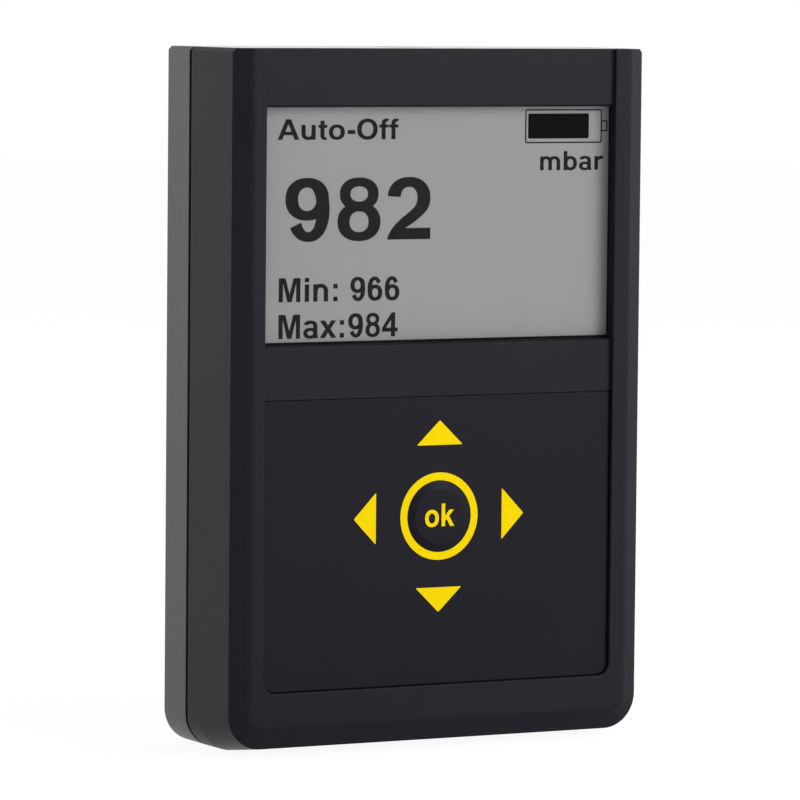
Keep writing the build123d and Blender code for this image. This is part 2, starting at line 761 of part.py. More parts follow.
def battery_cell(x, z_low, cap_up):
    """One cell, turned round its axis, with its cap above or below."""
    can_length = cell_length - cell_cap_height
    can = upright_rod(0, case_depth / 2, cell_radius, 0, can_length)
    cell = can.fuse(upright_rod(0, case_depth / 2, cell_cap_radius, can_length, cell_length))
    if not cap_up:
        cell = Pos(0, 0, cell_length) * (Rot(180, 0, 0) * cell)
    return Pos(x, behind(cell_axis_depth), z_low) * cell


def contact_plate(x_low, x_high, z_low):
    """The flat part of a contact."""
    half_depth = contact_depth / 2
    return block(x_low, x_high, z_low, z_low + contact_thickness, cell_axis_depth - half_depth,
                 cell_axis_depth + half_depth)


def contact_dimple(x, z_low, z_high):
    """The raised point that meets a cell's cap."""
    return upright_rod(x, cell_axis_depth, contact_dimple_radius, z_low, z_high)


def leaf_spring(x, z_root, z_tip):
    """An arched leaf that grows out of its plate, presses on the flat end of a cell and ends free."""
    lift = contact_thickness / 2 if z_tip > z_root else -contact_thickness / 2
    root = (x - leaf_length / 2, z_root)
    crown = (x, z_tip - lift)
    mirrored_root = (x + leaf_length / 2, z_root)
    arch = ThreePointArc(root, crown, mirrored_root).trim(0, leaf_free_end)
    leaf = front_plane(cell_axis_depth - leaf_width / 2) * trace(arch, contact_thickness)
    return extrude(leaf, -leaf_width)


def contact_tab(x, z_low):
    """The tab that runs forward from an upper contact to the board."""
    half = contact_tab_width / 2
    return block(x - half, x + half, z_low, z_low + contact_thickness, board_back + contact_gap,
                 cell_axis_depth)


def contact_bridge():
    """The lower contact, which joins the two cells: a spring for one and a dimple for the other."""
    outer = cell_x + contact_width / 2
    plate_top = bay_bottom + contact_thickness
    bridge = contact_plate(-outer, outer, bay_bottom)
    bridge += contact_dimple(cell_x, plate_top - contact_thickness / 2, plate_top + contact_dimple_height)
    return bridge + leaf_spring(-cell_x, plate_top, plate_top + spring_length)


def contact_plus():
    """The upper contact of the left cell."""
    z_low = bay_top - contact_thickness
    contact = contact_plate(-cell_x - contact_width / 2, -cell_x + contact_width / 2, z_low)
    contact += contact_dimple(-cell_x, z_low - contact_dimple_height, z_low + contact_thickness / 2)
    return contact + contact_tab(-cell_x, z_low)


def contact_minus():
    """The upper contact of the right cell, with its spring."""
    z_low = bay_top - contact_thickness
    contact = contact_plate(cell_x - contact_width / 2, cell_x + contact_width / 2, z_low)
    contact += contact_tab(cell_x, z_low)
    return contact + leaf_spring(cell_x, z_low, cell_spans()[1][1])


def hexagon_recess(radius, depth_low, depth_high, x, z):
    """The socket in a screw head."""
    return extrude(front_plane(depth_low, x, z) * RegularPolygon(radius, 6), -(depth_high - depth_low))


def case_screw():
    """The right-hand screw that joins the two shells, its head in the rear shell's post."""
    x, z = case_screw_x, case_screw_z
    seat = front_shell_depth + screw_seat_thickness
    head_back = seat + case_screw_head_height
    screw = rod(x, z, case_screw_head_radius, seat, head_back)
    screw += rod(x, z, case_screw_radius, seat - case_screw_length, seat)
    return screw - hexagon_recess(driver_recess_radius, head_back - driver_recess_depth, head_back + 1,
                                  x, z)


def board_screw():
    """The right-hand screw that holds the board to a boss of the front shell."""
    x, z = board_boss_x, board_screw_z
    head_back = board_back + board_screw_head_height
    screw = rod(x, z, board_screw_head_radius, board_back, head_back)
    screw += rod(x, z, board_screw_radius, board_back - board_screw_length, board_back)
    return screw - hexagon_recess(board_screw_recess_radius, head_back - driver_recess_depth,
                                  head_back + 1, x, z)


def port_screw(x):
    """A countersunk screw from the end plate into the port block."""
    socket = Pos(x, behind(port_depth), case_height - port_screw_socket_depth)
    return port_screw_shape(x) - extrude(socket * RegularPolygon(port_screw_socket_radius, 6),
                                         port_screw_socket_depth + 1)


def group(solids):
    """Separate solids that share one file."""
    return Compound(children=solids)


(left_low, _), (right_low, _) = cell_spans()
parts = {
    "front_shell": front_shell(),
    "rear_shell": rear_shell(),
    "end_plate": end_plate(),
    "keypad_foil": keypad_foil(),
    "display_window": display_window(),
    "display_gasket": display_gasket(),
    "lcd_panel": lcd_panel(),
    "display_holder": display_holder(),
    "zebra_strip": zebra_strip(),
    "main_board": main_board(),
    "microcontroller": microcontroller(),
    "keypad_connector": keypad_connector(),
    "sensor_connector": sensor_connector(),
    "sensor_flex": sensor_flex(),
    "sensor_port": sensor_port(),
    "sensor_cell": sensor_cell(),
    "sensor_seal": sensor_seal(),
    "sensor_clip": sensor_clip(),
    "port_screws": group(mirrored(port_screw(port_screw_x))),
    "board_screws": group(mirrored(board_screw())),
    "case_screws": group(mirrored(case_screw())),
    "battery_cell_left": battery_cell(-cell_x, left_low, True),
    "battery_cell_right": battery_cell(cell_x, right_low, False),
    "contact_bridge": contact_bridge(),
    "contact_plus": contact_plus(),
    "contact_minus": contact_minus(),
    "battery_door": battery_door(),
}

os.makedirs("parts", exist_ok=True)
for name, shape in parts.items():
    export_step(shape, f"parts/{name}.step")
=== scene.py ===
import math

import bmesh
import bpy
from mathutils import Matrix, Vector
from mathutils.geometry import delaunay_2d_cdt


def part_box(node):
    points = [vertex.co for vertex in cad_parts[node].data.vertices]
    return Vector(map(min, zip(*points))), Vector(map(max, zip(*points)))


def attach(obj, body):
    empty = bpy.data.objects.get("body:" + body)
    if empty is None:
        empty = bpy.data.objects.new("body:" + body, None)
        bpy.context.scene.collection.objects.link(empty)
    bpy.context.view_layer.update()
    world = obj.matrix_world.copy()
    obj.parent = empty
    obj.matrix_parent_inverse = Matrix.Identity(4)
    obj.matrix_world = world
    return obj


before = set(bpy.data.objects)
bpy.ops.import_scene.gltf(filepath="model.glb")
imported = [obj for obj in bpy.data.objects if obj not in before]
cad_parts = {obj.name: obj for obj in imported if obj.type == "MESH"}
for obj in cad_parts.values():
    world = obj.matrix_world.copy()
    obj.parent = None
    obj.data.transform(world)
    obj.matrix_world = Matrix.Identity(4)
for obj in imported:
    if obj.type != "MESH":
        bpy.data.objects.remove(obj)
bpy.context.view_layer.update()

mm = 0.001

# Camera, found from the edges of the case in the photograph
camera_azimuth = 28.118      # degrees that the camera looks to the right of straight at the front
camera_fall = 4.297          # degrees that it looks down
camera_roll = 0.537
camera_distance = 963.97 * mm
camera_target = Vector((-8.047, -13.4, 59.88)) * mm
camera_lens = 255.7
camera_sensor = 36.0
camera_nearest = 0.05        # metres, as the next one
camera_farthest = 50

# Keypad print
print_thickness = 0.02 * mm
key_height = 0.5 * mm        # the key's face stands that far in front of the foil
key_above_foil = 28.71 * mm  # the key's middle, above the foil's lower edge
keypad_print_x = 0.15 * mm
ring_outer = 7.5 * mm
ring_inner = 6.16 * mm
arrow_half_base = 4.43 * mm
arrow_height = 4.25 * mm
arrow_base_distance = 12.2 * mm
arrow_corner = 0.25 * mm
ok_half_width = 2.83 * mm
ok_drop = 1.71 * mm          # the baseline of the word on the key, below the key's middle
ok_height = 3.9 * mm

# Display print: each line's name, text, left and right ends, baseline and cap height in millimetres;
# baselines are taken from the display's lower edge
display_lines = (
    ("auto_off", "Auto-Off", -30.23, -7.14, 38.7, 3.45),
    ("unit", "mbar", 20.37, 32.93, 33.2, 3.27),
    ("reading", "982", -28.68, -0.96, 21.68, 10.56),
    ("lowest", "Min: 966", -29.8, -6.82, 11.4, 4.04),
    ("highest", "Max:984", -29.8, -7.1, 5.22, 4.06),
)

# Battery sign on the display, in millimetres: its line, and for each box its left, right, low and high
# and how far its corners are rounded
symbol_line = 0.24
symbol_box, symbol_corner = (17.35, 32.55, 37.85, 43.7), 0.45
nub_box, nub_corner = (32.35, 33.65, 39.85, 41.75), 0.3
charge_box, charge_corner = (17.95, 29.95, 38.65, 42.95), 0.3

# Port thread, G 1/8
thread_pitch = 0.907 * mm
thread_bore = 4.4 * mm       # the plain bore of the port
thread_crest = 4.283 * mm
thread_lead_in = 0.7 * mm
thread_length = 11.3 * mm
thread_sink = 0.05 * mm      # how far the ridge's foot reaches into the wall of the bore
thread_foot = 0.42           # half of the ridge's width at its foot, as a share of the pitch
thread_flat = 0.1            # the same at its crest
thread_run_out = 0.5         # turns over which the ridge dies away at each end
thread_sections = 32         # sections for each turn

# Letters and digits are drawn in thousandths of an em
cap_height_em = 716
stem = 137
arc_step = 6.0               # degrees between the points of a round stretch

# Points nearer than these, in metres, count as one: first in the outlines, then in the mesh
same_point = 1e-9
same_vertex = 1e-7

# Battery cells
cell_button = 1.25 * mm      # bare metal at the plus end
cell_rim = 0.3 * mm          # bare metal at the minus end
cell_band = 14.0 * mm

# Soft boxes: name, azimuth and elevation in degrees, distance, width and height in metres, and watts
lamps = (
    ("right_front_box", 32, 18, 1.1, 0.7, 0.9, 7.5),
    ("left_back_box", -150, 8, 0.9, 0.9, 0.35, 0.5),
    ("right_back_box", 95, 15, 1.0, 0.5, 0.8, 4.5),
)
lamp_aim_height = 60 * mm
world_fill = 0.4

# Floor
floor_radius = 3.0           # metres
floor_drop = 0.02 * mm       # the floor's distance below the case
floor_glow = 1.09
floor_glow_share = 0.85      # how much of what the camera sees there is glow; the rest keeps the shadow

# Places of the pieces that carry the prints and the thread
foil_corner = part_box("keypad_foil")[0]
key_front = foil_corner.y
foil_front = foil_corner.y + key_height
key_centre_z = foil_corner.z + key_above_foil
display_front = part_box("lcd_panel")[0].y
display_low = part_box("lcd_panel")[0].z
port_low, port_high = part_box("sensor_port")
port_y = (port_low.y + port_high.y) / 2


# Outlines: a shape is its outer outline and a hole or None

def superellipse(x, y, half_width, half_height, power, start, end):
    """Points along part of a superellipse, from one angle to another, in degrees."""
    count = max(2, int(abs(end - start) / arc_step))
    points = []
    for index in range(count + 1):
        angle = math.radians(start + (end - start) * index / count)
        across, up = math.cos(angle), math.sin(angle)
        points.append((x + half_width * math.copysign(abs(across) ** (2 / power), across),
                       y + half_height * math.copysign(abs(up) ** (2 / power), up)))
    return points


def ring(x, y, half_width, half_height, side, cap, power=2.2):
    """A closed round stroke; side and cap are its widths beside the middle and above it."""
    outer = superellipse(x, y, half_width, half_height, power, 0, 360)[:-1]
    hole = superellipse(x, y, half_width - side, half_height - cap, power, 0, 360)[:-1]
    return outer, hole


def arc(x, y, half_width, half_height, side, cap, start, end, power=2.2):
    """An open round stroke."""
    outer = superellipse(x, y, half_width, half_height, power, start, end)
    inner = superellipse(x, y, half_width - side, half_height - cap, power, end, start)
    return outer + inner, None


def bar(x_low, x_high, y_low, y_high):
    """A straight stroke."""
    return [(x_low, y_low), (x_high, y_low), (x_high, y_high), (x_low, y_high)], None


def outline(points, hole=None):
    """A shape given by its corners."""
    return points, hole


def bend(start, middle, end, count=8):
    """Points along a curve that leaves its start and meets its end in the direction of the middle point."""
    points = []
    for index in range(count + 1):
        along = index / count
        points.append(tuple(a * (1 - along) ** 2 + 2 * b * along * (1 - along) + c * along * along
                            for a, b, c in zip(start, middle, end)))
    return points


def rounded_polygon(corners, radius):
    """A polygon whose corners are cut by short curves."""
    points = []
    for index, corner in enumerate(corners):
        corner = Vector(corner)
        before = (Vector(corners[index - 1]) - corner).normalized() * radius
        after = (Vector(corners[(index + 1) % len(corners)]) - corner).normalized() * radius
        points += bend(tuple(corner + before), tuple(corner), tuple(corner + after), count=4)
    return points


def each_point(shapes, change):
    """The shapes with every point changed; a shape without a hole stays without one."""
    return [tuple(None if points is None else [change(x, y) for x, y in points] for points in shape)
            for shape in shapes]


# Letters and digits

def nine():
    """The strokes of a 9: its bowl and the stem that curls round it."""
    return [ring(272, 475, 234, 244, 136, 110), arc(286, 353, 228, 366, 140, 112, 75, -148)]


def six():
    """The strokes of a 6, which is a 9 turned upside down."""
    width, height = 552, 707
    return each_point(nine(), lambda x, y: (width - x, height - y))


def two():
    """The strokes of a 2: its round top, and its slanted foot in one outline."""
    right_edge = bend((456, 330), (388, 236), (224, 131))
    left_edge = bend((26, 0), (54, 130), (200, 258)) + bend((200, 258), (304, 340), (346, 400))[1:]
    foot = right_edge + [(500, 131), (500, 0)] + left_edge
    return [arc(264, 478, 234, 241, 142, 114, 176, -38), outline(foot)]


# Each glyph: its advance and its strokes
glyphs = {
    "9": (556, nine()),
    "6": (556, six()),
    "8": (556, [ring(277, 529, 210, 190, 115, 103), ring(277, 210, 233, 222, 130, 103)]),
    "2": (556, two()),
    "4": (556, [outline([(314, 0), (449, 0), (449, 144), (531, 144), (531, 264), (449, 264), (449, 719),
                         (332, 719), (26, 265), (26, 144), (314, 144)],
                        [(314, 264), (314, 505), (153, 264)])]),
    "A": (722, [outline([(0, 0), (153, 0), (212, 163), (501, 163), (564, 0), (722, 0), (439, 716),
                         (279, 716)],
                        [(257, 283), (357, 550), (457, 283)])]),
    "O": (778, [ring(388, 358, 344, 370, 150, 124)]),
    "o": (611, [ring(306, 259, 266, 271, 141, 112)]),
    "u": (611, [bar(69, 206, 215, 519), bar(404, 541, 0, 519),
                arc(305, 215, 236, 227, stem, 115, 180, 360)]),
    "n": (611, [bar(66, 203, 0, 519), bar(403, 540, 0, 304),
                arc(303, 304, 237, 227, stem, 115, 0, 180)]),
    "m": (889, [bar(66, 203, 0, 519), bar(377, 514, 0, 310), bar(688, 825, 0, 310),
                arc(290, 310, 224, 221, stem, 112, 0, 180), arc(601, 310, 224, 221, stem, 112, 0, 180)]),
    "r": (389, [bar(66, 203, 0, 519), arc(341, 300, 275, 231, stem, 122, 78, 180)]),
    "t": (333, [bar(88, 225, 140, 660), bar(21, 314, 410, 519),
                arc(250, 140, 162, 152, stem, 106, 180, 296)]),
    "f": (333, [bar(88, 225, 0, 565), bar(12, 321, 410, 519),
                arc(250, 565, 162, 163, stem, 109, 180, 54)]),
    "b": (611, [bar(66, 203, 0, 716), ring(321, 259, 248, 271, stem, 112)]),
    "a": (556, [arc(263, 365, 226, 166, stem, 102, 0, 163), bar(352, 489, 70, 368),
                outline([(352, 130), (489, 150), (497, 60), (522, 0), (385, 0), (367, 50)]),
                ring(262, 152, 226, 164, 134, 94)]),
    "k": (556, [bar(67, 204, 0, 716),
                outline([(190, 150), (263, 228), (399, 0), (557, 0), (357, 325), (545, 519), (370, 519),
                         (190, 322)])]),
    "M": (833, [outline([(73, 0), (73, 716), (289, 716), (419, 228), (547, 716), (764, 716), (764, 0),
                         (630, 0), (630, 564), (488, 0), (349, 0), (207, 564), (207, 0)])]),
    "i": (278, [bar(72, 209, 0, 519), bar(72, 209, 589, 716)]),
    ":": (333, [bar(99, 236, 0, 137), bar(99, 236, 382, 519)]),
    "x": (556, [outline([(8, 0), (168, 0), (275, 161), (378, 0), (543, 0), (357, 266), (536, 519),
                         (375, 519), (275, 368), (178, 519), (11, 519), (190, 269)])]),
    "-": (333, [bar(56, 311, 192, 329)]),
    " ": (278, []),
}


def text_shapes(text, left, right, baseline, cap_height):
    """The strokes of a line of text, stretched to run from left to right."""
    placed, advance = [], 0
    for character in text:
        width, shapes = glyphs[character]
        placed += each_point(shapes, lambda x, y: (x + advance, y))
        advance += width
    every_x = [x for outer, _ in placed for x, _ in outer]
    first_x = min(every_x)
    x_scale = (right - left) / (max(every_x) - first_x)
    y_scale = cap_height / cap_height_em
    return each_point(placed, lambda x, y: (left + (x - first_x) * x_scale, baseline + y * y_scale))


# Pieces

def anticlockwise(points):
    """The points in the order that a face needs."""
    area = sum(a[0] * b[1] - b[0] * a[1] for a, b in zip(points, points[1:] + points[:1]))
    return points if area > 0 else points[::-1]


def joined_triangles(shapes):
    """The triangles of the shapes' union, with the holes left open where no other shape covers them."""
    coordinates, faces, roles = [], [], []
    for index, (outer, hole) in enumerate(shapes):
        for points, is_hole in ((outer, False), (hole, True)):
            if points is None:
                continue
            first = len(coordinates)
            coordinates += [Vector(point) for point in anticlockwise(points)]
            faces.append(list(range(first, len(coordinates))))
            roles.append((index, is_hole))
    triangles_in_hull = 0
    vertices, _, triangles, _, _, sources = delaunay_2d_cdt(coordinates, [], faces, triangles_in_hull,
                                                            same_point)
    kept = []
    for triangle, source in zip(triangles, sources):
        solid = {roles[face][0] for face in source if not roles[face][1]}
        hollow = {roles[face][0] for face in source if roles[face][1]}
        if solid - hollow:
            kept.append(triangle)
    return vertices, kept


def new_object(name, data):
    """An object of the scene that shows the data."""
    made = bpy.data.objects.new(name, data)
    bpy.context.scene.collection.objects.link(made)
    return made


def new_mesh(name, work, material):
    """The mesh that was built in work, which is freed."""
    mesh = bpy.data.meshes.new(name)
    work.to_mesh(mesh)
    work.free()
    mesh.materials.append(material)
    return mesh


def case_piece(name, work, material):
    """A piece that rides on the case."""
    piece = new_object(name, new_mesh(name, work, material))
    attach(piece, "case")


def flat_piece(name, shapes, y_back, material):
    """A thin print made of flat shapes in the XZ plane, standing out to the front of y_back."""
    vertices, triangles = joined_triangles(shapes)
    work = bmesh.new()
    corners = [work.verts.new((point.x, y_back, point.y)) for point in vertices]
    for triangle in triangles:
        work.faces.new([corners[index] for index in triangle])
    loose = [vertex for vertex in work.verts if not vertex.link_faces]
    bmesh.ops.delete(work, geom=loose, context="VERTS")
    bmesh.ops.remove_doubles(work, verts=work.verts, dist=same_vertex)
    raised = bmesh.ops.extrude_face_region(work, geom=work.faces[:])
    lifted = [item for item in raised["geom"] if isinstance(item, bmesh.types.BMVert)]
    bmesh.ops.translate(work, verts=lifted, vec=(0, -print_thickness, 0))
    bmesh.ops.recalc_face_normals(work, faces=work.faces)
    case_piece(name, work, material)


# Nodes that the materials share

def add(tree, kind, **values):
    """A new node with some of its inputs set; an underscore stands for a space."""
    node = tree.nodes.new(kind)
    for key, value in values.items():
        node.inputs[key.replace("_", " ")].default_value = value
    return node


def shader_of(material):
    """The material's Principled shader."""
    return material.node_tree.nodes["Principled BSDF"]


def wire(material, **outputs):
    """Links outputs to the shader's sockets; an underscore stands for a space."""
    for key, output in outputs.items():
        material.node_tree.links.new(output, shader_of(material).inputs[key.replace("_", " ")])


def new_material(name, colour, roughness, metallic=0.0, specular=0.5):
    """A Principled material with its plain values set."""
    made = bpy.data.materials.new(name)
    made.use_nodes = True
    sockets = shader_of(made).inputs
    sockets["Base Color"].default_value = (*colour, 1)
    sockets["Roughness"].default_value = roughness
    sockets["Metallic"].default_value = metallic
    sockets["Specular IOR Level"].default_value = specular
    return made


def scaled(colour, factor):
    """The colour made lighter or darker."""
    return tuple(part * factor for part in colour)


def place_in(tree, stretch=(1, 1, 1)):
    """The object's own coordinates, stretched."""
    coordinates = tree.nodes.new("ShaderNodeTexCoord")
    mapping = add(tree, "ShaderNodeMapping", Scale=stretch)
    tree.links.new(coordinates.outputs["Object"], mapping.inputs["Vector"])
    return mapping.outputs["Vector"]


def noise(tree, vector, scale, detail=2.0, rough=0.5):
    """A noise pattern whose scale is given in features to the metre."""
    node = add(tree, "ShaderNodeTexNoise", Scale=scale, Detail=detail, Roughness=rough)
    tree.links.new(vector, node.inputs["Vector"])
    return node.outputs["Fac"]


def spread(tree, value, low, high, from_low=0.3, from_high=0.7):
    """A value stretched onto another range."""
    node = add(tree, "ShaderNodeMapRange", From_Min=from_low, From_Max=from_high, To_Min=low, To_Max=high)
    tree.links.new(value, node.inputs["Value"])
    return node.outputs["Result"]


def blend_colours(tree, factor, first, second):
    """A mix of two colours; each is a colour or an output."""
    node = tree.nodes.new("ShaderNodeMix")
    node.data_type = "RGBA"
    for socket, colour in ((node.inputs["A"], first), (node.inputs["B"], second)):
        if isinstance(colour, tuple):
            socket.default_value = (*colour, 1)
        else:
            tree.links.new(colour, socket)
    tree.links.new(factor, node.inputs["Factor"])
    return node.outputs["Result"]


def mottle(tree, pattern, first, second, most=1.0):
    """The first colour, turned towards the second by up to a share where the pattern is high."""
    return blend_colours(tree, spread(tree, pattern, 0.0, most), first, second)


def rounded_normal(tree, radius):
    """The surface's normal, rounded near the edges."""
    bevel = add(tree, "ShaderNodeBevel", Radius=radius)
    bevel.samples = 6
    return bevel.outputs["Normal"]


def edge_mask(tree, radius):
    """Near 1 along the edges and corners, where rubbing and a painted highlight lighten them, 0 on flat
    faces.
    """
    on_edge, on_flat = 0.80, 0.995
    geometry = tree.nodes.new("ShaderNodeNewGeometry")
    dot = tree.nodes.new("ShaderNodeVectorMath")
    dot.operation = "DOT_PRODUCT"
    tree.links.new(rounded_normal(tree, radius), dot.inputs[0])
    tree.links.new(geometry.outputs["Normal"], dot.inputs[1])
    return spread(tree, dot.outputs["Value"], 1.0, 0.0, on_edge, on_flat)


def bump(tree, height, strength, distance, edge_radius=0.0):
    """A bump over a normal that may be rounded at the edges."""
    node = add(tree, "ShaderNodeBump", Strength=strength, Distance=distance)
    tree.links.new(height, node.inputs["Height"])
    if edge_radius:
        tree.links.new(rounded_normal(tree, edge_radius), node.inputs["Normal"])
    return node.outputs["Normal"]


def height_band(tree, vector, low, high):
    """1 between two heights, 0 elsewhere."""
    split = tree.nodes.new("ShaderNodeSeparateXYZ")
    tree.links.new(vector, split.inputs["Vector"])
    inside = tree.nodes.new("ShaderNodeMath")
    inside.operation = "COMPARE"
    tree.links.new(split.outputs["Z"], inside.inputs[0])
    inside.inputs[1].default_value = (low + high) / 2
    inside.inputs[2].default_value = (high - low) / 2
    return inside.outputs["Value"]


def ray_is(tree, *kinds):
    """1 for a ray of any of the kinds, 0 for the rest."""
    path = tree.nodes.new("ShaderNodeLightPath")
    found = path.outputs[kinds[0]]
    for kind in kinds[1:]:
        either = tree.nodes.new("ShaderNodeMath")
        either.operation = "MAXIMUM"
        tree.links.new(found, either.inputs[0])
        tree.links.new(path.outputs[kind], either.inputs[1])
        found = either.outputs["Value"]
    return found


# Materials

def moulded(name, colour, edge_wear_and_highlight, roughness, specular):
    """Moulded plastic with a fine eroded grain, its edges lightened by slight rubbing and by a painted
    highlight.
    """
    grain_size, grain_depth, edge_radius, wear_and_highlight_width = 0.28 * mm, 0.012 * mm, 0.18 * mm, 0.35 * mm
    made = new_material(name, colour, roughness, specular=specular)
    tree = made.node_tree
    vector = place_in(tree)
    grain = noise(tree, vector, 1 / grain_size, detail=3.0, rough=0.6)
    cloud = noise(tree, vector, 45.0)
    specks = spread(tree, noise(tree, vector, 2600.0, detail=1.0), 0.0, 0.5, from_low=0.62, from_high=0.78)
    tone = mottle(tree, cloud, colour, scaled(colour, 1.35))
    tone = blend_colours(tree, specks, tone, scaled(colour, 2.2))
    # Lighter along the edges: partly rubbed wear, partly a painted edge highlight
    tone = blend_colours(tree, edge_mask(tree, wear_and_highlight_width), tone, edge_wear_and_highlight)
    wire(made, Base_Color=tone, Roughness=spread(tree, grain, roughness - 0.06, roughness + 0.08),
         Normal=bump(tree, grain, 0.5, grain_depth, edge_radius))
    return made


def printed_film(name, colour):
    """The keypad's polyester film: finer than the case, with a faint hazy texture."""
    grain_depth, edge_radius = 0.006 * mm, 0.12 * mm
    made = new_material(name, colour, 0.42, specular=0.08)
    tree = made.node_tree
    vector = place_in(tree)
    grain = noise(tree, vector, 7000.0, rough=0.6)
    haze = noise(tree, vector, 60.0, detail=3.0)
    wire(made, Base_Color=mottle(tree, haze, colour, scaled(colour, 1.25)),
         Roughness=spread(tree, haze, 0.36, 0.46),
         Normal=bump(tree, grain, 0.35, grain_depth, edge_radius))
    return made


def ink(name, colour, roughness=0.5, variation=0.9):
    """Screen-printed ink, very slightly uneven."""
    made = new_material(name, colour, roughness, specular=0.03)
    tree = made.node_tree
    patch = noise(tree, place_in(tree), 900.0, detail=3.0)
    wire(made, Base_Color=mottle(tree, patch, scaled(colour, variation), colour),
         Normal=bump(tree, patch, 0.2, 0.004 * mm))
    return made


def display_grey(name):
    """The display's grey ground: matt, with faint upright streaks and a faint green cloudiness."""
    grey, green = (0.39, 0.39, 0.39), (0.365, 0.37, 0.36)
    made = new_material(name, grey, 0.6, specular=0.03)
    tree = made.node_tree
    streak = noise(tree, place_in(tree, stretch=(700.0, 1.0, 6.0)), 1.0)
    cloud = noise(tree, place_in(tree), 35.0, detail=1.0)
    tone = mottle(tree, cloud, grey, green, most=0.45)
    wire(made, Base_Color=mottle(tree, streak, tone, scaled(grey, 0.95), most=0.3))
    return made


def clear_plastic(name):
    """The pane: almost clear, with the faintest tint."""
    made = new_material(name, (0.02, 0.02, 0.021), 0.12, specular=0.05)
    tree = made.node_tree
    haze = noise(tree, place_in(tree), 80.0)
    wire(made, Roughness=spread(tree, haze, 0.10, 0.18))
    shader_of(made).inputs["Alpha"].default_value = 0.04
    return made


def worked_metal(name, colour, roughness, stretch):
    """Metal with fine marks, drawn out along the axis with the smallest stretch."""
    mark_depth, edge_radius = 0.006 * mm, 0.12 * mm
    made = new_material(name, colour, roughness, metallic=1.0)
    tree = made.node_tree
    lines = noise(tree, place_in(tree, stretch), 1.0, detail=4.0, rough=0.65)
    stain = noise(tree, place_in(tree), 55.0)
    tone = mottle(tree, lines, scaled(colour, 0.86), colour)
    wire(made, Base_Color=mottle(tree, stain, tone, scaled(colour, 0.9), most=0.35),
         Roughness=spread(tree, lines, roughness - 0.07, roughness + 0.1),
         Normal=bump(tree, lines, 0.5, mark_depth, edge_radius))
    return made


def turned_metal(name, colour, roughness):
    """Stainless steel with the fine rings that turning leaves round the port's axis."""
    ring_depth, edge_radius = 0.004 * mm, 0.12 * mm
    made = new_material(name, colour, roughness, metallic=1.0)
    tree = made.node_tree
    centred = add(tree, "ShaderNodeMapping", Location=(0, -port_y, 0), Scale=(1, 1, 0))
    tree.links.new(place_in(tree), centred.inputs["Vector"])
    from_axis = tree.nodes.new("ShaderNodeVectorMath")
    from_axis.operation = "LENGTH"
    tree.links.new(centred.outputs["Vector"], from_axis.inputs[0])
    rings = add(tree, "ShaderNodeTexNoise", Scale=9000.0, Detail=3.0)
    rings.noise_dimensions = "1D"
    tree.links.new(from_axis.outputs["Value"], rings.inputs["W"])
    stain = noise(tree, place_in(tree), 90.0)
    tone = mottle(tree, rings.outputs["Fac"], scaled(colour, 0.85), colour)
    wire(made, Base_Color=mottle(tree, stain, tone, scaled(colour, 0.9), most=0.3),
         Roughness=spread(tree, stain, roughness - 0.05, roughness + 0.08),
         Normal=bump(tree, rings.outputs["Fac"], 0.4, ring_depth, edge_radius))
    return made


def wrapped_cell(name, node_name, plus_up):
    """A cell's dark jacket with a copper band at its plus end, and its bare metal ends."""
    dark, copper = (0.016, 0.017, 0.020), (0.42, 0.16, 0.05)
    metal, rubbed = (0.55, 0.54, 0.52), (0.05, 0.05, 0.05)
    low, high = (corner.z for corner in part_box(node_name))
    if plus_up:
        sleeve_low, sleeve_high = low + cell_rim, high - cell_button
        band_low, band_high = sleeve_high - cell_band, sleeve_high
    else:
        sleeve_low, sleeve_high = low + cell_button, high - cell_rim
        band_low, band_high = sleeve_low, sleeve_low + cell_band
    made = new_material(name, dark, 0.3, specular=0.4)
    tree = made.node_tree
    vector = place_in(tree)
    patch = noise(tree, vector, 300.0)
    in_sleeve = height_band(tree, vector, sleeve_low, sleeve_high)
    in_band = height_band(tree, vector, band_low, band_high)
    jacket = mottle(tree, patch, blend_colours(tree, in_band, dark, copper), rubbed, most=0.2)
    wire(made, Base_Color=blend_colours(tree, in_sleeve, metal, jacket),
         Metallic=spread(tree, in_sleeve, 1.0, 0.0, from_low=0.0, from_high=1.0),
         Roughness=spread(tree, patch, 0.26, 0.36),
         Normal=bump(tree, patch, 0.2, 0.004 * mm))
    return made


def plain_surface(name, colour, roughness, scale, depth, specular=0.4):
    """A simple moulded or foamed surface with a noisy tone and bump."""
    made = new_material(name, colour, roughness, specular=specular)
    tree = made.node_tree
    pattern = noise(tree, place_in(tree), scale, detail=3.0)
    wire(made, Base_Color=mottle(tree, pattern, scaled(colour, 0.82), colour),
         Roughness=spread(tree, pattern, roughness - 0.05, roughness + 0.08),
         Normal=bump(tree, pattern, 0.5, depth))
    return made


